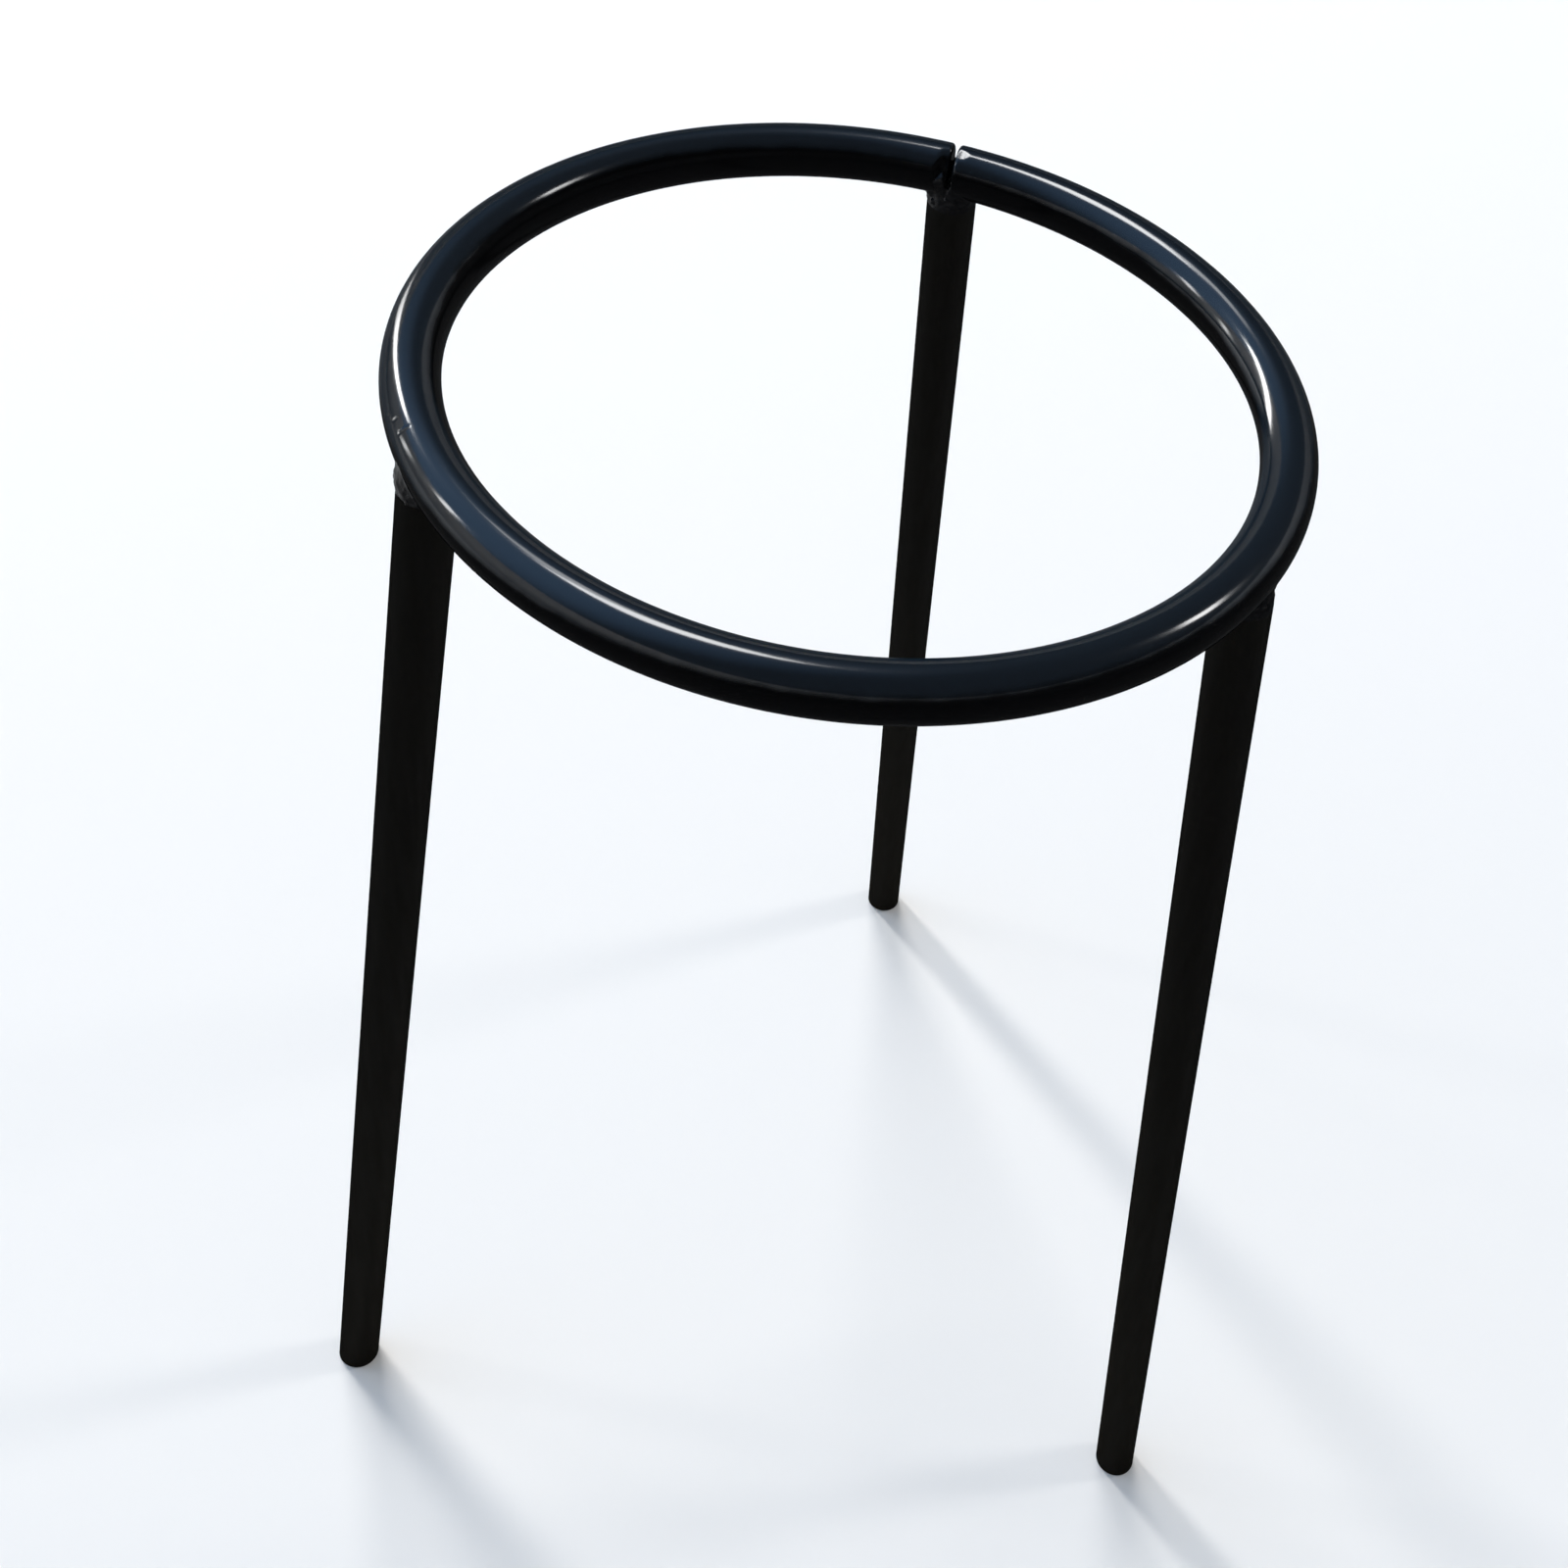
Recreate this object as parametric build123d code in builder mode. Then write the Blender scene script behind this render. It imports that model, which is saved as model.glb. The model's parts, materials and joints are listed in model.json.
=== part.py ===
from build123d import *

import os
from math import asin, cos, degrees, radians, sin, tan
from typing import NamedTuple

# Lab tripod stand: one steel rod bent into a ring, with three straight rod legs welded under it.
# Millimetres, +Z up, the feet stand on Z = 0 and the middle front of the stand faces -Y.
# The stand is modelled about the ring's axis, then moved so that the origin is the middle of
# the box round the whole stand, on the bench.

# Driving dimensions
ROD_DIAMETER = 5.0  # the same drawn rod makes the ring and the legs
RING_OUTER_DIAMETER = 80.0
STAND_HEIGHT = 148.0  # bench to the top of the ring
SLIT_WIDTH = 0.5  # left open between the two butted ends of the ring's rod
RING_END_ROUND = 0.4  # the deburred edge of each of those two ends
FOOT_EDGE_ROUND = 0.35
ROOT_GAP = 0.3  # from a leg's square-cut top to the underside of the ring
WELD_BULGE = 0.45  # how far a weld stands proud of the leg's side
WELD_DROP = 1.2  # how far a weld runs down the leg's side
WELD_RISE = 1.9  # how far a weld climbs the ring's flanks above the leg's top
WELD_LIP = 0.2  # how far inside the leg's radius a weld meets the ring


class Leg(NamedTuple):
    """How one leg leaves the ring, in degrees."""

    azimuth: float  # where its top stands round the ring, from +X towards +Y
    splay: float  # its slope away from the ring's axis
    lean: float  # its slope sideways, towards larger azimuths


# The three legs are set by eye before welding, so they are near 120 degrees apart and near 9 degrees.
LEGS = {
    "left": Leg(azimuth=209.7, splay=7.1, lean=-0.6),
    "right": Leg(azimuth=331.0, splay=8.9, lean=0.0),
    "back": Leg(azimuth=80.0, splay=10.0, lean=-1.6),
}
SEAM_LEG = "back"  # the leg that closes the ring's seam

ROD_RADIUS = ROD_DIAMETER / 2
RING_RADIUS = RING_OUTER_DIAMETER / 2 - ROD_RADIUS
RING_HEIGHT = STAND_HEIGHT - ROD_RADIUS
SLIT_ANGLE = degrees(2 * asin(SLIT_WIDTH / 2 / RING_RADIUS))


def outward(azimuth: float) -> Vector:
    """The level direction away from the ring's axis at an azimuth."""
    return Vector(cos(radians(azimuth)), sin(radians(azimuth)), 0)


def ring_section_plane(azimuth: float) -> Plane:
    """The upright half plane through the ring's axis: its x points outward and its y points up."""
    out = outward(azimuth)
    return Plane(origin=(0, 0, 0), x_dir=out, z_dir=out.cross(Vector(0, 0, 1)))


def leg_top_plane(leg: Leg) -> Plane:
    """The plane of a leg's square-cut top, with z up along the leg and x level, along the ring."""
    out = outward(leg.azimuth)
    side = outward(leg.azimuth + 90)
    down = (out * tan(radians(leg.splay)) + side * tan(radians(leg.lean)) - Vector(0, 0, 1)).normalized()
    under_ring = out * RING_RADIUS + Vector(0, 0, RING_HEIGHT) + down * (ROD_RADIUS + ROOT_GAP)
    return Plane(origin=under_ring, x_dir=side, z_dir=-down)


# Ring: one rod bent round until its ends almost meet over the back leg
with BuildPart() as ring:
    with BuildSketch(ring_section_plane(LEGS[SEAM_LEG].azimuth + SLIT_ANGLE / 2)):
        with Locations((RING_RADIUS, RING_HEIGHT)):
            Circle(ROD_RADIUS)
    revolve(axis=Axis.Z, revolution_arc=360 - SLIT_ANGLE)
    fillet(ring.faces().filter_by(GeomType.PLANE).edges(), RING_END_ROUND)

pieces = {"ring": ring.part}

for place, leg in LEGS.items():
    top = leg_top_plane(leg)

    # Leg: a straight rod, cut square under the ring and level with the bench at its foot
    with BuildPart() as leg_rod:
        with BuildSketch(top):
            Circle(ROD_RADIUS)
        extrude(amount=-(top.origin.Z / top.z_dir.Z + ROD_DIAMETER))
        split(bisect_by=Plane.XY, keep=Keep.TOP)
        fillet(leg_rod.faces().sort_by(Axis.Z)[0].edges(), FOOT_EDGE_ROUND)

    # Weld: a small collar round the joint that fills the root gap and both wedges under the ring
    with BuildPart() as weld:
        with BuildSketch(Plane(origin=top.origin, x_dir=top.x_dir, z_dir=-top.y_dir)):
            with BuildLine():
                foot = (ROD_RADIUS, -WELD_DROP)
                crown = (ROD_RADIUS - WELD_LIP, WELD_RISE)
                Polyline(crown, (0, WELD_RISE), (0, -WELD_DROP), foot)
                ThreePointArc(foot, (ROD_RADIUS + WELD_BULGE, 0), crown)
            make_face()
        revolve(axis=Axis(top.origin, top.z_dir))
        add(ring.part, mode=Mode.SUBTRACT)
        add(leg_rod.part, mode=Mode.SUBTRACT)

    pieces[f"leg_{place}"] = leg_rod.part
    pieces[f"weld_{place}"] = weld.part

middle = Compound(list(pieces.values())).bounding_box().center()
to_origin = Location((-middle.X, -middle.Y, 0))

os.makedirs("parts", exist_ok=True)
for name, piece in pieces.items():
    placed = piece.moved(to_origin)
    placed.label = name
    export_step(placed, f"parts/{name}.step")
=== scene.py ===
"""Looks for a lab tripod stand: a bent rod ring on three welded rod legs, under black enamel.

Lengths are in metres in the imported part's frame: +Z is up and the feet stand on Z = 0.
"""

import json
import logging
import math
from dataclasses import dataclass
from enum import Enum

import bmesh
import bpy
import numpy as np
from mathutils import Matrix, Vector, noise

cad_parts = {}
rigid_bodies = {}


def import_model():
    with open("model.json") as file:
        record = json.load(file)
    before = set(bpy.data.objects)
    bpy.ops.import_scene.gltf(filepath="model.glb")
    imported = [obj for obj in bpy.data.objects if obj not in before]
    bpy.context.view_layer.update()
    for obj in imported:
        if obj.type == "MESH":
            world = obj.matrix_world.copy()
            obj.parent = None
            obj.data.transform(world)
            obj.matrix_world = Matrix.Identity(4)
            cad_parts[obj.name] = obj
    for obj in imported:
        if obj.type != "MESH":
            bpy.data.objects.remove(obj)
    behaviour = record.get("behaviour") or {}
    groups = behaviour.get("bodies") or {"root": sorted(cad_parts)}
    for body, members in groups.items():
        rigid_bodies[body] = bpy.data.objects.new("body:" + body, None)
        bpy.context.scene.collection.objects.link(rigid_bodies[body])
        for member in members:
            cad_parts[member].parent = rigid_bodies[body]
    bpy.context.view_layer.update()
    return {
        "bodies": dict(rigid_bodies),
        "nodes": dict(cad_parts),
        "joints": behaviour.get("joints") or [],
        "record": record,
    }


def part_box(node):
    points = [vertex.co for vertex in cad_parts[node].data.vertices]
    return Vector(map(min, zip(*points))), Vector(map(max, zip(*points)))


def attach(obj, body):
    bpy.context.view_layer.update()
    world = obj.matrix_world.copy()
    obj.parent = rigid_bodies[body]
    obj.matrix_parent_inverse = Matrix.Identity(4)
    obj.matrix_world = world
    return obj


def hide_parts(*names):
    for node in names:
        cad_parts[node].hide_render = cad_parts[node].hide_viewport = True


LOG = logging.getLogger("tripod_stand")
BODY = "root"
MM = 0.001
UP = Vector((0.0, 0.0, 1.0))
FULL_TURN = 2 * math.pi
QUARTER_TURN = math.pi / 2
SAME_POINT = 7  # decimals of a metre to which two points are one
ENAMEL_IOR = 1.5
POWER_PER_GLOW = 4.0  # a lamp's power over its area where its radiance is 1

Colour = tuple[float, float, float]
Heading = tuple[float, float, float]
Limits = tuple[float, float]


class Place(Enum):
    """Where a leg stands, as its CAD nodes name it."""

    LEFT = "left"
    RIGHT = "right"
    BACK = "back"


class Finish(Enum):
    """The record's material slots."""

    RING = "ring_enamel"
    LEG = "leg_enamel"
    WELD = "weld_enamel"


# Shader maths


class Field:
    """A value, colour or vector that varies over a surface: one output socket of a node tree."""

    def __init__(self, graph: "Graph", socket: bpy.types.NodeSocket) -> None:
        """Wraps a socket of the graph."""
        self.graph = graph
        self.socket = socket

    def _math(self, operation: str, first: "Field | float", second: "Field | float") -> "Field":
        """Adds one Math node."""
        values = {"Value": first, "Value_001": second}
        return self.graph.add("ShaderNodeMath", {"operation": operation}, values)

    def __add__(self, other: "Field | float") -> "Field":
        """Sum."""
        return self._math("ADD", self, other)

    def __radd__(self, other: "Field | float") -> "Field":
        """Sum, with the number first."""
        return self._math("ADD", other, self)

    def __sub__(self, other: "Field | float") -> "Field":
        """Difference."""
        return self._math("SUBTRACT", self, other)

    def __rsub__(self, other: "Field | float") -> "Field":
        """Difference, with the number first."""
        return self._math("SUBTRACT", other, self)

    def __mul__(self, other: "Field | float") -> "Field":
        """Product."""
        return self._math("MULTIPLY", self, other)

    def __rmul__(self, other: "Field | float") -> "Field":
        """Product, with the number first."""
        return self._math("MULTIPLY", other, self)


class Graph:
    """A node tree that is being written."""

    def __init__(self, tree: bpy.types.NodeTree) -> None:
        """Takes a tree and empties it."""
        self.tree = tree
        self.tree.nodes.clear()

    def add(
        self, kind: str, settings: dict[str, object], values: dict[str, object], output: str = ""
    ) -> Field | None:
        """Adds one node.

        Args:
            kind: The node's type.
            settings: The node's own settings, set before its sockets.
            values: What each input socket takes, by identifier: a Field is linked, the rest are set.
            output: The identifier of the output to return, or the first one.

        Returns:
            The output as a Field, or None for a node without outputs.
        """
        node = self.tree.nodes.new(kind)
        for setting, value in settings.items():
            setattr(node, setting, value)
        inputs = {socket.identifier: socket for socket in node.inputs}
        for identifier, value in values.items():
            if isinstance(value, Field):
                self.tree.links.new(value.socket, inputs[identifier])
            else:
                inputs[identifier].default_value = value
        outputs = [socket for socket in node.outputs if output in ("", socket.identifier)]
        return Field(self, outputs[0]) if outputs else None

    def position(self) -> Field:
        """The surface point in the part's frame, in metres."""
        return self.add("ShaderNodeTexCoord", {}, {}, "Object")

    def height(self) -> Field:
        """The surface point's height above the bench."""
        return self.add("ShaderNodeSeparateXYZ", {}, {"Vector": self.position()}, "Z")

    def agreement(self, direction: Field, heading: Heading) -> Field:
        """How far a direction agrees with a fixed heading, from -1 to 1."""
        values = {"Vector": direction, "Vector_001": heading}
        return self.add("ShaderNodeVectorMath", {"operation": "DOT_PRODUCT"}, values, "Value")

    def facing(self, heading: Heading) -> Field:
        """How far the surface faces a fixed heading of the part's frame, from -1 to 1."""
        return self.agreement(self.add("ShaderNodeTexCoord", {}, {}, "Normal"), heading)

    def kept_edge_on(self, loss: float, limits: Limits) -> Field:
        """The share of a gloss that is left as the surface turns edge on to the eye.

        Args:
            loss: The share that is gone once it is fully edge on.
            limits: Where the loss begins and ends, from 0 face on to 1 edge on.

        Returns:
            The share.
        """
        edge_on = self.add("ShaderNodeLayerWeight", {}, {}, "Facing")
        return 1 - loss * self.ease(edge_on, limits)

    def stretched(self, stretch: Heading) -> Field:
        """The surface point with each axis multiplied by its own number."""
        values = {"Vector": self.position(), "Vector_001": stretch}
        return self.add("ShaderNodeVectorMath", {"operation": "MULTIPLY"}, values)

    def mottle(self, size: float, at: Field | None = None) -> Field:
        """Soft noise from 0 to 1, with blotches of a size in metres, at a point or the surface point."""
        values = {"Vector": at or self.position(), "Scale": 1 / size}
        return self.add("ShaderNodeTexNoise", {}, values, "Fac")

    def ease(self, value: Field, limits: Limits) -> Field:
        """0 where the value is below the first limit, 1 above the second, and smooth between them."""
        values = {"Value": value, "From Min": limits[0], "From Max": limits[1]}
        return self.add("ShaderNodeMapRange", {"interpolation_type": "SMOOTHSTEP"}, values, "Result")

    def blend(self, first: "Field | Colour", second: "Field | Colour", share: Field) -> Field:
        """Mixes two colours.

        Args:
            first: The colour where the share is 0.
            second: The colour where the share is 1.
            share: How much of the second there is.

        Returns:
            The mixed colour.
        """
        values: dict[str, object] = {"Factor_Float": share}
        for identifier, colour in (("A_Color", first), ("B_Color", second)):
            values[identifier] = colour if isinstance(colour, Field) else (*colour, 1.0)
        return self.add("ShaderNodeMix", {"data_type": "RGBA"}, values, "Result_Color")

    def bump(self, height: Field, distance: float) -> Field:
        """A normal bent by a height from 0 to 1 that stands for a real distance."""
        values = {"Height": height, "Distance": distance, "Strength": 1.0}
        return self.add("ShaderNodeBump", {}, values)


class Surface(Graph):
    """A material's node tree, closed with its surface shader."""

    def __init__(self, name: str) -> None:
        """Makes the material."""
        self.material = bpy.data.materials.new(name)
        self.material.use_nodes = True
        super().__init__(self.material.node_tree)

    def finish(self, values: dict[str, object]) -> bpy.types.Material:
        """Closes the material.

        Args:
            values: What each socket of the surface shader takes.

        Returns:
            The finished material.
        """
        surface = self.add("ShaderNodeBsdfPrincipled", {}, values)
        self.add("ShaderNodeOutputMaterial", {}, {"Surface": surface})
        return self.material


# Finishes


@dataclass(frozen=True)
class RingEnamel:
    """Black enamel, glossier on its up-facing side, where its colour is painted lighter and bluer as a
    painted reflection of the cool sky glow; plain black and dull beneath.
    """

    up_heading: Heading = (-0.31, 0.0, 0.95)
    up_limits: Limits = (0.38, 0.66)
    up_drift: float = 0.16  # how far the flow noise moves the border of the up-facing side, where the painted reflection and the gloss begin
    # painted reflection: the lighter blue-black body colour that the up-facing side shows for the cool sky
    # glow above it
    body_painted_sky_sheen: Colour = (0.0040, 0.0078, 0.0120)
    body_beneath: Colour = (0.0022, 0.0022, 0.0024)
    gloss_sprayed: float = 0.92
    gloss_beneath: float = 0.035
    coat_roughness: float = 0.135
    roughness: float = 0.38
    roughness_drift: float = 0.14
    edge_loss: float = 0.94
    edge_limits: Limits = (0.27, 0.66)
    flow_size: float = 3.0 * MM
    peel_size: float = 0.7 * MM
    peel_depth: float = 0.012 * MM

    def material(self) -> bpy.types.Material:
        """Writes the enamel's nodes.

        Returns:
            The enamel as a material.
        """
        graph = Surface("ring_enamel")
        flow = graph.mottle(self.flow_size)
        # The up-facing side gets a painted reflection of the cool sky in its base colour, and more gloss in
        # its coat.
        border = graph.facing(self.up_heading) + flow * self.up_drift - self.up_drift / 2
        up_facing = graph.ease(border, self.up_limits)
        kept = graph.kept_edge_on(self.edge_loss, self.edge_limits)
        return graph.finish(
            {
                # painted reflection: the base colour turns lighter and bluer on the up-facing side
                "Base Color": graph.blend(self.body_beneath, self.body_painted_sky_sheen, up_facing),
                "Roughness": self.roughness + self.roughness_drift * flow,
                "Specular IOR Level": 0.0,
                "Coat Weight": self.gloss_beneath + self.gloss_sprayed * up_facing * kept,
                "Coat Roughness": self.coat_roughness,
                "Coat IOR": ENAMEL_IOR,
                "Normal": graph.bump(graph.mottle(self.peel_size), self.peel_depth),
            }
        )


@dataclass(frozen=True)
class LegEnamel:
    """Thin black enamel over a drawn rod, lighter and browner towards the foot."""

    ring_height: float  # of the ring's middle above the bench
    body_high: Colour = (0.0040, 0.0036, 0.0028)
    body_low: Colour = (0.0078, 0.0066, 0.0048)
    height_limits: Limits = (0.0, 0.8)  # shares of the ring's height
    height_share: float = 0.8
    streak_share: float = 0.3
    gloss: float = 0.02
    gloss_drift: float = 0.05
    coat_roughness: float = 0.30
    roughness: float = 0.34
    roughness_drift: float = 0.20
    edge_loss: float = 0.8
    edge_limits: Limits = (0.40, 0.85)
    streak_size: float = 0.8 * MM
    streak_stretch: Heading = (1.0, 1.0, 0.08)
    peel_size: float = 0.6 * MM
    peel_depth: float = 0.012 * MM

    def material(self) -> bpy.types.Material:
        """Writes the enamel's nodes.

        Returns:
            The enamel as a material.
        """
        graph = Surface("leg_enamel")
        high = graph.ease(graph.height() * (1 / self.ring_height), self.height_limits)
        streaks = graph.mottle(self.streak_size, at=graph.stretched(self.streak_stretch))
        share = high * self.height_share + streaks * self.streak_share
        gloss = self.gloss + self.gloss_drift * streaks
        return graph.finish(
            {
                "Base Color": graph.blend(self.body_low, self.body_high, share),
                "Roughness": self.roughness + self.roughness_drift * streaks,
                "Specular IOR Level": 0.0,
                "Coat Weight": gloss * graph.kept_edge_on(self.edge_loss, self.edge_limits),
                "Coat Roughness": self.coat_roughness,
                "Coat IOR": ENAMEL_IOR,
                "Normal": graph.bump(graph.mottle(self.peel_size) + streaks, self.peel_depth),
            }
        )


@dataclass(frozen=True)
class WeldEnamel:
    """Black enamel flowed over a weld: glossy on its crests, dull in its hollows."""

    body: Colour = (0.0045, 0.0045, 0.0048)
    body_scaled: Colour = (0.011, 0.010, 0.009)
    scale_limits: Limits = (0.5, 0.8)
    up_heading: Heading = (-0.60, -0.25, 0.76)
    up_limits: Limits = (0.1, 0.8)
    gloss_sprayed: float = 0.32
    gloss_beneath: float = 0.03
    coat_roughness: float = 0.12
    roughness: float = 0.28
    roughness_drift: float = 0.25
    scale_size: float = 0.5 * MM
    scale_depth: float = 0.02 * MM

    def material(self) -> bpy.types.Material:
        """Writes the enamel's nodes.

        Returns:
            The enamel as a material.
        """
        graph = Surface("weld_enamel")
        scale = graph.mottle(self.scale_size)
        up_facing = graph.ease(graph.facing(self.up_heading), self.up_limits)
        return graph.finish(
            {
                "Base Color": graph.blend(self.body, self.body_scaled, graph.ease(scale, self.scale_limits)),
                "Roughness": self.roughness + self.roughness_drift * scale,
                "Specular IOR Level": 0.0,
                "Coat Weight": self.gloss_beneath + self.gloss_sprayed * up_facing,
                "Coat Roughness": self.coat_roughness,
                "Coat IOR": ENAMEL_IOR,
                "Normal": graph.bump(scale, self.scale_depth),
            }
        )


@dataclass(frozen=True)
class BackdropPaint:
    """Matt pale paint for the floor and the wall behind it."""

    wall_height: float
    colour: Colour = (0.92, 0.88, 0.82)
    duller: float = 0.99  # the colour's share in the duller patches
    patch_size: float = 0.4  # metres
    lift_low: float = 0.06  # what the floor shows of its own, to the eye and in gloss
    lift_high: float = 0.34  # what the wall shows of its own
    rays: tuple[str, str, str] = ("Is Camera Ray", "Is Glossy Ray", "Is Transmission Ray")

    def material(self) -> bpy.types.Material:
        """Writes the paint's nodes.

        Returns:
            The paint as a material.
        """
        graph = Surface("backdrop_paint")
        duller = tuple(self.duller * part for part in self.colour)
        camera, glossy, through = (graph.add("ShaderNodeLightPath", {}, {}, name) for name in self.rays)
        low, high = ((level, level, level) for level in (self.lift_low, self.lift_high))
        lift = graph.blend(low, high, graph.ease(graph.height(), (0.0, self.wall_height / 2)))
        return graph.finish(
            {
                "Base Color": graph.blend(self.colour, duller, graph.mottle(self.patch_size)),
                "Roughness": 1.0,
                "Specular IOR Level": 0.0,
                "Emission Color": graph.blend((0.0, 0.0, 0.0), lift, camera + glossy + through),
                "Emission Strength": 1.0,
            }
        )


# Meshes


def skin(
    name: str, loops: np.ndarray, first_end: Vector, last_end: Vector | None = None
) -> bpy.types.Object:
    """Makes a smooth surface through loops of points.

    Args:
        name: The object's name.
        loops: The points, as loop by point by coordinate, each loop round the same way.
        first_end: The point that closes the first loop.
        last_end: The point that closes the last loop, or None to leave it open.

    Returns:
        The object, in the scene.
    """
    count, around = loops.shape[:2]
    points = [*loops.reshape(-1, 3).tolist(), tuple(first_end)]
    first_pole = count * around
    last = first_pole - around
    pairs = [(point, (point + 1) % around) for point in range(around)]
    faces = [(first_pole, following, point) for point, following in pairs]
    for low in range(0, last, around):
        high = low + around
        faces.extend((low + near, low + far, high + far, high + near) for near, far in pairs)
    if last_end is not None:
        points.append(tuple(last_end))
        faces.extend((first_pole + 1, last + point, last + following) for point, following in pairs)
    mesh = bpy.data.meshes.new(name)
    mesh.from_pydata(points, [], faces)
    mesh.shade_smooth()
    mesh.validate()
    piece = bpy.data.objects.new(name, mesh)
    bpy.context.scene.collection.objects.link(piece)
    return piece


def sign_in(piece: bpy.types.Object, node: str, material: bpy.types.Material) -> None:
    """Dresses a piece, lets it stand for its CAD node and reports it.

    Args:
        piece: The piece.
        node: The CAD node that it replaces.
        material: Its material.
    """
    piece.data.materials.append(material)
    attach(piece, BODY)
    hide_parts(node)
    LOG.info("%s: %d faces, stands for %s", piece.name, len(piece.data.polygons), node)


def node_points(frame: dict, node: str) -> np.ndarray:
    """A CAD node's own points, each once.

    Args:
        frame: The loaded frame.
        node: The node's name.

    Returns:
        The points, one a row.
    """
    points = np.array([vertex.co for vertex in frame["nodes"][node].data.vertices], float)
    return np.unique(points.round(SAME_POINT), axis=0)


def soft_noise(points: np.ndarray, size: float, seed: float) -> np.ndarray:
    """Soft noise at points.

    Args:
        points: The points, one a row.
        size: The size of its waves, in metres.
        seed: Sets it apart from the other noises.

    Returns:
        A number from about -1 to 1 for each point.
    """
    offset = Vector((seed, 2.0 * seed, 3.0 * seed))
    return np.array([noise.noise(Vector(point) / size + offset) for point in points.tolist()])


def plateau(squared: np.ndarray) -> np.ndarray:
    """1 near the middle of a spot and 0 well outside it, from the squared share of its half size."""
    return np.exp(-(squared**2))


@dataclass(frozen=True)
class Unevenness:
    """Long and short waves on a surface that should be smooth."""

    depth: float
    long: float  # the long waves' size
    short: float  # the short waves' size
    seeds: tuple[float, float]
    short_share: float = 0.5
    mean: float = 0.75  # share of the depth that is there everywhere
    spread: float = 0.5  # share of the depth that the waves move

    def at(self, points: np.ndarray) -> np.ndarray:
        """Reads the waves at points.

        Args:
            points: The points, one a row.

        Returns:
            How far each point is moved.
        """
        first, second = self.seeds
        long = soft_noise(points, self.long, first)
        short = soft_noise(points, self.short, second)
        return self.depth * (self.mean + self.spread * (long + self.short_share * short))


@dataclass(frozen=True)
class Mark:
    """A pit or a bump on the ring's rod."""

    along: float  # degrees round the ring, from +X towards +Y
    around: float  # degrees round the rod, from outward towards up
    length: float  # half its length along the rod
    width: float  # half its width round the rod
    depth: float  # above 0 for a pit, below 0 for a bump


@dataclass(frozen=True)
class Flat:
    """A place where the ring's rod is worn or filed flat."""

    along: float  # degrees round the ring, from +X towards +Y
    around: float  # degrees round the rod, from outward towards up
    length: float  # half its length along the rod
    depth: float


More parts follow.
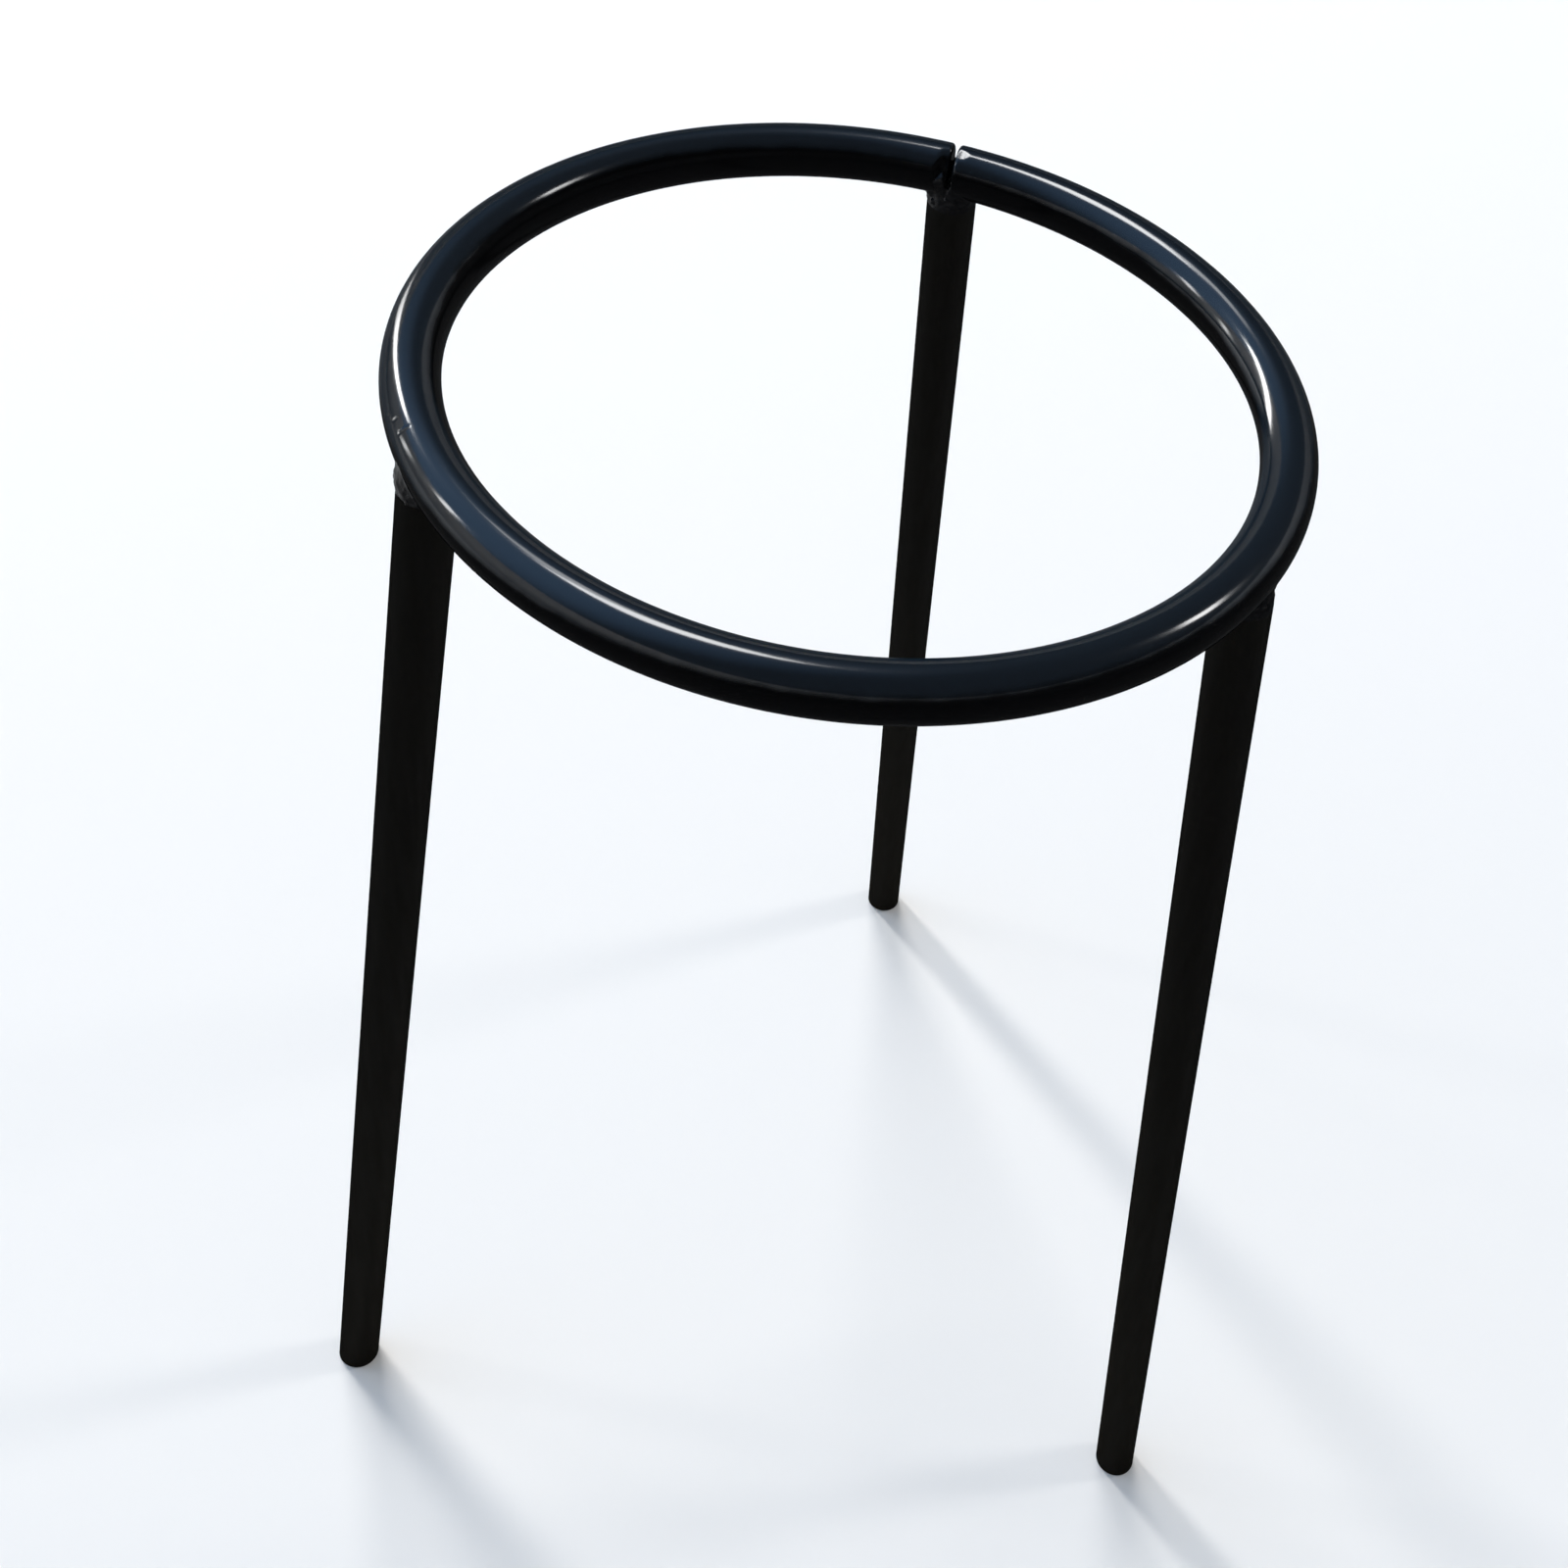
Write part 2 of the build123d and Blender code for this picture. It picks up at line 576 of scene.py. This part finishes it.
@dataclass(frozen=True)
class RingRod:
    """The rod bent into a ring, with its two ends almost meeting over the back leg."""

    centre: Vector
    radius: float  # to the rod's middle
    rod_radius: float
    seam: float  # degrees round the ring, from +X towards +Y
    slit: float = 0.5 * MM
    end_round: float = 0.35 * MM
    end_loops: tuple[float, ...] = (0.25, 0.5, 0.75)  # shares of an end face's radius
    end_rows: int = 8
    sections: int = 900
    around: int = 72
    mark_rows: int = 24
    mark_margin: float = 2.0  # how many half lengths of fine rows stand each side of a mark
    mark_fade: int = 4  # how fast marks die out towards the middle of an end face
    flat_limit: float = 0.5  # cosine of the turn past which a flat can't reach
    uneven: Unevenness = Unevenness(depth=0.010 * MM, long=5.0 * MM, short=1.6 * MM, seeds=(1.3, 4.1))
    marks: tuple[Mark, ...] = (
        Mark(along=80.9, around=165.0, length=1.00 * MM, width=2.05 * MM, depth=0.55 * MM),
        Mark(along=202.5, around=33.0, length=0.20 * MM, width=0.25 * MM, depth=-0.02 * MM),
        Mark(along=204.4, around=47.0, length=0.22 * MM, width=0.40 * MM, depth=0.02 * MM),
        Mark(along=206.9, around=54.0, length=0.24 * MM, width=0.45 * MM, depth=0.035 * MM),
    )
    flats: tuple[Flat, ...] = (Flat(along=79.8, around=111.0, length=0.95 * MM, depth=0.10 * MM),)

    def _along(self, mark: Mark | Flat) -> float:
        """How far along the rod a mark or a flat stands."""
        return math.radians((mark.along - self.seam) % 360.0) * self.radius - self.slit / 2

    def _end(self) -> tuple[np.ndarray, np.ndarray]:
        """The loops of one rod end, from the middle of its face to the full rod.

        Returns:
            The distance of each loop from the end, and the rod's radius there.
        """
        turn = np.linspace(0, QUARTER_TURN, self.end_rows)
        face = np.array(self.end_loops) * (self.rod_radius - self.end_round)
        at = np.concatenate((np.zeros(face.size), self.end_round * (1 - np.cos(turn))))
        return at, np.concatenate((face, self.rod_radius - self.end_round * (1 - np.sin(turn))))

    def _rows(self) -> tuple[np.ndarray, np.ndarray]:
        """Where each loop stands.

        Returns:
            The distance of each loop along the rod, and the rod's radius there.
        """
        length = self.radius * FULL_TURN - self.slit
        end_at, end_radius = self._end()
        runs = [np.linspace(0, length, self.sections)]
        for mark in (*self.marks, *self.flats):
            at = self._along(mark)
            margin = self.mark_margin * mark.length
            runs.append(np.linspace(at - margin, at + margin, self.mark_rows))
        middle = np.unique(np.concatenate(runs))
        middle = middle[(middle > self.end_round) & (middle < length - self.end_round)]
        at = np.concatenate((end_at, middle, length - end_at[::-1]))
        radius = np.concatenate((end_radius, np.full(middle.size, self.rod_radius), end_radius[::-1]))
        return at, radius

    def _marked(self, at: np.ndarray, turn: np.ndarray) -> np.ndarray:
        """How far the marks push the surface in.

        Args:
            at: Distances along the rod.
            turn: Radians round the rod.

        Returns:
            The depth at each distance and turn.
        """
        depth = np.zeros(np.broadcast_shapes(at.shape, turn.shape))
        for mark in self.marks:
            away = (at - self._along(mark)) / mark.length
            turned = np.angle(np.exp(1j * (turn - math.radians(mark.around))))
            aside = turned * self.rod_radius / mark.width
            depth += mark.depth * plateau(away**2 + aside**2)
        return depth

    def _flattened(self, reach: np.ndarray, at: np.ndarray, turn: np.ndarray) -> np.ndarray:
        """Cuts the flats off the rod.

        Args:
            reach: The surface's distance from the rod's middle.
            at: Distances along the rod.
            turn: Radians round the rod.

        Returns:
            The distance with the flats cut.
        """
        for flat in self.flats:
            depth = flat.depth * plateau(((at - self._along(flat)) / flat.length) ** 2)
            level = np.maximum(np.cos(turn - math.radians(flat.around)), self.flat_limit)
            reach = np.minimum(reach, (self.rod_radius - depth) / level)
        return reach

    def _points(self, angle: np.ndarray, turn: np.ndarray, reach: np.ndarray) -> np.ndarray:
        """The rod's surface.

        Args:
            angle: Radians round the ring, one a row.
            turn: Radians round the rod, one a column.
            reach: The surface's distance from the rod's middle, for each row and column.

        Returns:
            The points, as row by column by coordinate.
        """
        out = self.radius + reach * np.cos(turn)
        across = self.centre.x + out * np.cos(angle)
        away = self.centre.y + out * np.sin(angle)
        high = self.centre.z + reach * np.sin(turn)
        return np.stack((across, away, high), axis=-1)

    def build(self) -> bpy.types.Object:
        """Makes the ring's mesh.

        Returns:
            The ring.
        """
        at, section = (column[:, None] for column in self._rows())
        angle = math.radians(self.seam) + self.slit / 2 / self.radius + at / self.radius
        turn = np.linspace(0, FULL_TURN, self.around, endpoint=False)[None, :]
        reach = section - self._marked(at, turn) * (section / self.rod_radius) ** self.mark_fade
        reach = self._flattened(reach, at, turn)
        smooth = self._points(angle, turn, reach).reshape(-1, 3)
        reach = reach - self.uneven.at(smooth).reshape(reach.shape)
        points = self._points(angle, turn, reach)
        return skin("ring_rod", points[:, ::-1], points[0].mean(0), points[-1].mean(0))


@dataclass(frozen=True)
class LegRod:
    """A straight rod leg, cut square under the ring and level at its foot."""

    place: Place
    top: Vector
    foot: Vector
    rod_radius: float
    foot_round: float = 0.20 * MM
    sections: int = 420
    around: int = 64
    bend_rows: int = 6
    top_loops: tuple[float, ...] = (0.3, 0.6, 0.9)  # shares of the rod's radius
    foot_loops: tuple[float, ...] = (0.6, 0.3)
    uneven: Unevenness = Unevenness(depth=0.012 * MM, long=6.0 * MM, short=1.5 * MM, seeds=(7.7, 2.9))

    def axes(self) -> np.ndarray:
        """Works out the leg's own axes.

        Returns:
            The axes, one a row: up along the leg, sideways and sideways again.
        """
        up = (self.top - self.foot).normalized()
        side = up.cross(UP).cross(up).normalized()
        return np.array((up, side, up.cross(side)))

    def _spokes(self) -> np.ndarray:
        """Unit vectors from the leg's axis to the points of a loop, one a row."""
        _, side, other = self.axes()
        turn = np.linspace(0, FULL_TURN, self.around, endpoint=False)
        return np.outer(np.cos(turn), side) + np.outer(np.sin(turn), other)

    def _loop(self, reach: np.ndarray | float, share: float, level: float = 0.0) -> np.ndarray:
        """One loop of points round the leg.

        Args:
            reach: The points' distance from the axis.
            share: How far down the leg they are, from 0 at the top to 1 at the level.
            level: The height above the bench where the leg would end.

        Returns:
            The points, one a row.
        """
        down = -self.axes()[0]
        rim = np.array(self.top) + self._spokes() * np.reshape(reach, (-1, 1))
        drop = (rim[:, 2] - level) / -down[2]
        return rim + down * (drop * share)[:, None]

    def build(self) -> bpy.types.Object:
        """Makes the leg's mesh.

        Returns:
            The leg.
        """
        rows = [self._loop(self.rod_radius * part, 0.0) for part in self.top_loops]
        for share in np.linspace(0.0, 1.0, self.sections):
            inset = self.uneven.at(self._loop(self.rod_radius, share, self.foot_round))
            rows.append(self._loop(self.rod_radius - inset, share, self.foot_round))
        for bend in np.linspace(0, QUARTER_TURN, self.bend_rows)[1:]:
            inset = self.uneven.depth + self.foot_round * (1 - math.cos(bend))
            rows.append(self._loop(self.rod_radius - inset, 1.0, self.foot_round * (1 - math.sin(bend))))
        rows.extend(self._loop(self.rod_radius * part, 1.0) for part in self.foot_loops)
        points = np.stack(rows)
        return skin(f"leg_{self.place.value}_rod", points, self.top, points[-1].mean(0))


@dataclass(frozen=True)
class Spatter:
    """A small ball of metal that froze on a leg or its weld."""

    turn: float  # degrees round the leg
    height: float  # above the leg's top
    out: float  # from the leg's axis
    radius: float


@dataclass(frozen=True)
class WeldShape:
    """How one weld flowed."""

    rise: float  # how far it climbs above the leg's top
    drop: float  # how far it runs down the leg
    swell: float  # how far it stands proud of the leg
    spatter: tuple[Spatter, ...] = ()


WELDS = {
    Place.LEFT: WeldShape(
        rise=2.3 * MM,
        drop=0.15 * MM,
        swell=0.30 * MM,
        spatter=(
            Spatter(turn=34.0, height=1.24 * MM, out=2.55 * MM, radius=0.22 * MM),
            Spatter(turn=38.0, height=-0.09 * MM, out=2.50 * MM, radius=0.20 * MM),
            Spatter(turn=12.0, height=1.50 * MM, out=2.50 * MM, radius=0.18 * MM),
        ),
    ),
    Place.RIGHT: WeldShape(
        rise=1.3 * MM,
        drop=0.3 * MM,
        swell=0.08 * MM,
        spatter=(Spatter(turn=-23.0, height=0.80 * MM, out=2.50 * MM, radius=0.20 * MM),),
    ),
    Place.BACK: WeldShape(
        rise=2.1 * MM,
        drop=0.7 * MM,
        swell=0.15 * MM,
        spatter=(
            Spatter(turn=-174.0, height=1.07 * MM, out=2.45 * MM, radius=0.24 * MM),
            Spatter(turn=150.0, height=0.10 * MM, out=2.40 * MM, radius=0.40 * MM),
        ),
    ),
}


@dataclass(frozen=True)
class WeldBead:
    """The weld that joins a leg's top to the ring: a lumpy collar that fills the wedge between them."""

    place: Place
    leg: LegRod
    ring: RingRod
    shape: WeldShape
    flow_on_ring: float = 0.6 * MM
    flow_on_leg: float = 0.2 * MM
    taper: float = 0.25 * MM  # how much narrower it is at its top than at its foot
    top_wander: float = 2.0  # how many times more uneven its top edge is than its side
    uneven: Unevenness = Unevenness(
        depth=0.13 * MM,
        long=1.1 * MM,
        short=0.45 * MM,
        seeds=(3.7, 8.2),
        short_share=0.6,
        mean=0.0,
        spread=1.0,
    )
    tuck: float = 0.05 * MM  # how far it hides inside the rods where it has thinned out
    reach: float = 4.2 * MM  # how far from the leg's top the metal is felt for
    nearest: float = 0.1  # share of the reach where the feeling stops
    fineness: int = 6
    steps: int = 60
    halvings: int = 12

    @staticmethod
    def _joined(first: np.ndarray, second: np.ndarray, flow: float) -> np.ndarray:
        """The gap to two bodies whose joint is filled by a fillet of about the flow's size."""
        near = np.maximum(flow - np.abs(first - second), 0) / flow
        return np.minimum(first, second) - near**2 * flow / 4

    def _gap_to_ring(self, point: np.ndarray) -> np.ndarray:
        """Distance to the ring's rod, with its slit open.

        Args:
            point: The points, one a row.

        Returns:
            The distance of each point, below 0 inside the rod.
        """
        away = point - np.array(self.ring.centre)
        out = np.hypot(away[:, 0], away[:, 1]) - self.ring.radius
        seam = math.radians(self.ring.seam)
        beside = away[:, 1] * math.cos(seam) - away[:, 0] * math.sin(seam)
        facing = away[:, 0] * math.cos(seam) + away[:, 1] * math.sin(seam) > 0
        slit = np.where(facing, self.ring.slit / 2 - np.abs(beside), -np.inf)
        return np.maximum(np.hypot(out, away[:, 2]) - self.ring.rod_radius, slit)

    def _gap_to_collar(self, along: np.ndarray, out: np.ndarray, lumps: np.ndarray) -> np.ndarray:
        """Distance to the collar without its spatter.

        Args:
            along: Heights of the points above the leg's top, along the leg.
            out: Distances of the points from the leg's axis.
            lumps: How far the metal swells at each point.

        Returns:
            The distance of each point, below 0 inside the collar.
        """
        shape = self.shape
        share = np.clip((along + shape.drop) / (shape.drop + shape.rise), 0, 1)
        side = self.leg.rod_radius + shape.swell * np.sin(math.pi * share) - self.taper * share**2 + lumps
        above = along - shape.rise - self.top_wander * lumps
        return np.maximum(np.maximum(out - side, above), -shape.drop - along + lumps)

    def _gap(self, point: np.ndarray) -> np.ndarray:
        """Distance to the flowed metal.

        Args:
            point: The points, one a row.

        Returns:
            The distance of each point, below 0 inside the metal.
        """
        up, side, other = self.leg.axes()
        away = point - np.array(self.leg.top)
        along = away @ up
        out = np.hypot(away @ side, away @ other)
        metal = self._gap_to_collar(along, out, self.uneven.at(point))
        for ball in self.shape.spatter:
            turn = math.radians(ball.turn)
            spoke = ball.out * (math.cos(turn) * side + math.sin(turn) * other) + ball.height * up
            metal = np.minimum(metal, np.linalg.norm(away - spoke, axis=1) - ball.radius)
        to_leg = np.maximum(out - self.leg.rod_radius, along)
        on_ring = self._joined(self._gap_to_ring(point), metal, self.flow_on_ring)
        return self._joined(on_ring, to_leg, self.flow_on_leg) + self.tuck

    def build(self) -> bpy.types.Object:
        """Makes the weld's mesh by feeling inward to the joint for the metal's surface.

        Returns:
            The weld.
        """
        name = f"weld_{self.place.value}_bead"
        mesh = bpy.data.meshes.new(name)
        shell = bmesh.new()
        bmesh.ops.create_icosphere(shell, subdivisions=self.fineness, radius=1.0)
        shell.to_mesh(mesh)
        shell.free()
        heading = np.array([vertex.co.normalized() for vertex in mesh.vertices])
        centre = np.array(self.leg.top)
        steps = np.linspace(self.nearest, 1.0, self.steps) * self.reach
        high = np.full(len(heading), self.reach)
        for step in steps[::-1]:
            high = np.where(self._gap(centre + heading * step) > 0, step, high)
        low = high - (steps[1] - steps[0])
        for _ in range(self.halvings):
            middle = (low + high) / 2
            outside = self._gap(centre + heading * middle[:, None]) > 0
            high = np.where(outside, middle, high)
            low = np.where(outside, low, middle)
        points = centre + heading * high[:, None]
        mesh.vertices.foreach_set("co", points.astype(np.float32).ravel())
        mesh.shade_smooth()
        mesh.update()
        piece = bpy.data.objects.new(name, mesh)
        bpy.context.scene.collection.objects.link(piece)
        return piece


@dataclass(frozen=True)
class TripodStand:
    """The whole stand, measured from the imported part."""

    frame: dict
    seam_offset: float = 0.4  # degrees the slit stands past the back leg's own middle
    rim_depth: float = 0.05 * MM  # how near to a leg's highest point its rim counts
    rim_passes: int = 3

    def ring(self) -> RingRod:
        """Measures the ring's rod, from its node's box and the back leg's place.

        Returns:
            The ring's rod.
        """
        low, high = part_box("ring")
        rod_radius = (high.z - low.z) / 2
        middle = (low + high) / 2
        back = self._leg_top("leg_back") - middle
        return RingRod(
            centre=middle,
            radius=(high.y - low.y) / 2 - rod_radius,
            rod_radius=rod_radius,
            seam=math.degrees(math.atan2(back.y, back.x)) + self.seam_offset,
        )

    def _leg_top(self, node: str) -> Vector:
        """Finds the middle of a leg's square-cut top.

        Args:
            node: The leg's CAD node.

        Returns:
            The middle of its top.
        """
        points = node_points(self.frame, node)
        foot = np.array(self._foot(node))
        low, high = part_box(node)
        top = np.array((low + high) / 2)
        for _ in range(self.rim_passes):
            axis = (top - foot) / np.linalg.norm(top - foot)
            along = points @ axis
            top = points[along > along.max() - self.rim_depth].mean(0)
        return Vector(top)

    def _foot(self, node: str) -> Vector:
        """Finds the middle of a leg's foot, from the record's mount there.

        Args:
            node: The leg's CAD node.

        Returns:
            The middle of its foot.
        """
        wanted = node.replace("leg", "foot")
        mount = next(mount for mount in self.frame["record"]["mounts"] if mount["name"] == wanted)
        return Vector(mount["pos_m"])

    def leg(self, place: Place, rod_radius: float) -> LegRod:
        """One leg's rod, from its node and its foot's mount."""
        node = f"leg_{place.value}"
        return LegRod(place=place, top=self._leg_top(node), foot=self._foot(node), rod_radius=rod_radius)

    def build(self) -> None:
        """Builds and dresses every piece."""
        ring = self.ring()
        ring_enamel = RingEnamel().material()
        leg_enamel = LegEnamel(ring.centre.z).material()
        weld_enamel = WeldEnamel().material()
        sign_in(ring.build(), "ring", ring_enamel)
        for place in Place:
            leg = self.leg(place, ring.rod_radius)
            sign_in(leg.build(), f"leg_{place.value}", leg_enamel)
            weld = WeldBead(place=place, leg=leg, ring=ring, shape=WELDS[place])
            sign_in(weld.build(), f"weld_{place.value}", weld_enamel)


# Studio


@dataclass(frozen=True)
class Softbox:
    """A flat soft lamp, given as the ring sees it: where it is, how wide and tall, and how bright."""

    name: str
    azimuth: float  # degrees from +Y towards +X
    elevation: float  # degrees above the horizon
    width: float  # degrees
    height: float  # degrees
    glow: float  # radiance, where a white sheet in plain light is 1
    turn: float = 0.0  # degrees about the line to the ring

    def build(self, target: Vector, distance: float) -> None:
        """Hangs the lamp, facing what it lights.

        Args:
            target: What it lights.
            distance: How far away it hangs.
        """
        azimuth = math.radians(self.azimuth)
        elevation = math.radians(self.elevation)
        level = math.cos(elevation)
        away = Vector((math.sin(azimuth) * level, math.cos(azimuth) * level, math.sin(elevation)))
        lamp = bpy.data.lights.new(self.name, "AREA")
        lamp.shape = "RECTANGLE"
        lamp.size = 2 * distance * math.tan(math.radians(self.width) / 2)
        lamp.size_y = 2 * distance * math.tan(math.radians(self.height) / 2)
        lamp.energy = POWER_PER_GLOW * self.glow * lamp.size * lamp.size_y
        holder = bpy.data.objects.new(self.name, lamp)
        holder.location = target + away * distance
        facing = (-away).to_track_quat("-Z", "Y").to_matrix().to_4x4()
        turned = facing @ Matrix.Rotation(math.radians(self.turn), 4, "Z")
        holder.rotation_mode = "QUATERNION"
        holder.rotation_quaternion = turned.to_quaternion()
        holder.visible_camera = False
        bpy.context.scene.collection.objects.link(holder)
        LOG.info("softbox %s hung", self.name)


@dataclass(frozen=True)
class Room:
    """The dim room beyond the lamps, with a cool soft glow high on its left."""

    dark: Colour = (0.11, 0.12, 0.135)
    glow: Colour = (0.50, 0.84, 1.38)
    heading: Heading = (-0.69, 0.28, 0.67)
    limits: Limits = (0.55, 1.05)  # cosines, from the glow's rim to its core

    def world(self) -> bpy.types.World:
        """Writes the room's nodes.

        Returns:
            The room as a world.
        """
        world = bpy.data.worlds.new("room")
        world.use_nodes = True
        graph = Graph(world.node_tree)
        near = graph.agreement(graph.add("ShaderNodeTexCoord", {}, {}, "Generated"), self.heading)
        colour = graph.blend(self.dark, self.glow, graph.ease(near, self.limits))
        light = graph.add("ShaderNodeBackground", {}, {"Color": colour, "Strength": 1.0})
        graph.add("ShaderNodeOutputWorld", {}, {"Surface": light})
        return world


@dataclass(frozen=True)
class Studio:
    """A pale floor that sweeps up into a wall, with soft lamps round it."""

    target: Vector
    flat_radius: float = 2.6
    sweep_radius: float = 0.8
    wall_height: float = 1.6
    around: int = 128
    inner_radius: float = 0.01
    flat_rows: int = 9
    bend_rows: int = 17
    drop: float = 0.05 * MM  # keeps the floor's face apart from the feet
    lamp_distance: float = 2.4
    room: Room = Room()
    softboxes: tuple[Softbox, ...] = (
        Softbox("skylight", azimuth=-21.0, elevation=61.0, width=15.0, height=13.0, glow=14.0),
        Softbox("skylight_skirt", azimuth=-20.0, elevation=50.0, width=9.0, height=8.0, glow=4.0),
        Softbox("window_left", azimuth=-42.5, elevation=16.0, width=6.0, height=33.0, glow=32.0, turn=-17.0),
        Softbox("pane_left", azimuth=-83.0, elevation=23.0, width=4.0, height=9.0, glow=14.0),
        Softbox("strip_left", azimuth=-69.0, elevation=9.0, width=3.0, height=9.0, glow=12.0),
        Softbox("window_right", azimuth=70.0, elevation=41.5, width=9.0, height=7.0, glow=18.0, turn=35.0),
    )

    def _backdrop(self) -> bpy.types.Object:
        """Makes the floor and the wall as one sheet.

        Returns:
            The backdrop.
        """
        turn = np.linspace(0, FULL_TURN, self.around, endpoint=False)
        bend = np.linspace(0, QUARTER_TURN, self.bend_rows)[1:]
        flat = np.geomspace(self.inner_radius, self.flat_radius, self.flat_rows)
        edge = self.flat_radius + self.sweep_radius
        out = np.concatenate((flat, self.flat_radius + self.sweep_radius * np.sin(bend), [edge]))
        rise = np.concatenate((0 * flat, self.sweep_radius * (1 - np.cos(bend)), [self.wall_height]))
        high = np.repeat((rise - self.drop)[:, None], turn.size, 1)
        loops = np.stack((np.outer(out, np.cos(turn)), np.outer(out, np.sin(turn)), high), axis=-1)
        return skin("backdrop", loops, Vector((0.0, 0.0, -self.drop)))

    def build(self) -> None:
        """Builds the floor and its wall, the lamps and the room's own light."""
        backdrop = self._backdrop()
        backdrop.data.materials.append(BackdropPaint(self.wall_height).material())
        for softbox in self.softboxes:
            softbox.build(self.target, self.lamp_distance)
        bpy.context.scene.world = self.room.world()


@dataclass(frozen=True)
class Camera:
    """The eye: in front of the ring and above it, tilted a little."""

    setback: float = 134.365 * MM  # from the ring's axis towards the front
    height: float = 241.671 * MM  # above the bench
    heading: float = 4.593  # degrees from +Y towards +X
    pitch: float = 47.772  # degrees down
    roll: float = 10.919  # degrees
    lens: float = 43.08  # millimetres
    shift: tuple[float, float] = (-0.0787, 0.0096)  # shares of the frame's width
    near: float = 10.0 * MM  # nearer than this, nothing shows

    def build(self, ring_centre: Vector) -> None:
        """Makes the camera and gives it to the scene.

        Args:
            ring_centre: The middle of the ring.
        """
        heading, pitch, roll = (math.radians(angle) for angle in (self.heading, self.pitch, self.roll))
        level = math.cos(pitch)
        forward = Vector((math.sin(heading) * level, math.cos(heading) * level, -math.sin(pitch)))
        flat = forward.cross(UP).normalized()
        rise = flat.cross(forward)
        right = flat * math.cos(roll) + rise * math.sin(roll)
        top = right.cross(forward)
        camera = bpy.data.cameras.new("eye")
        camera.lens = self.lens
        camera.shift_x, camera.shift_y = self.shift
        camera.clip_start = self.near
        holder = bpy.data.objects.new("eye", camera)
        turned = Matrix((right, top, -forward)).transposed().to_4x4()
        place = Vector((ring_centre.x, ring_centre.y - self.setback, self.height))
        holder.matrix_world = Matrix.Translation(place) @ turned
        bpy.context.scene.collection.objects.link(holder)
        bpy.context.scene.camera = holder


def main() -> None:
    """Builds the stand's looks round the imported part."""
    logging.basicConfig(level=logging.INFO, format="%(message)s")
    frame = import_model()
    bpy.context.scene.view_settings.view_transform = "Standard"
    stand = TripodStand(frame)
    ring = stand.ring()
    Camera().build(ring.centre)
    stand.build()
    Studio(target=ring.centre).build()


if __name__ == "__main__":
    main()
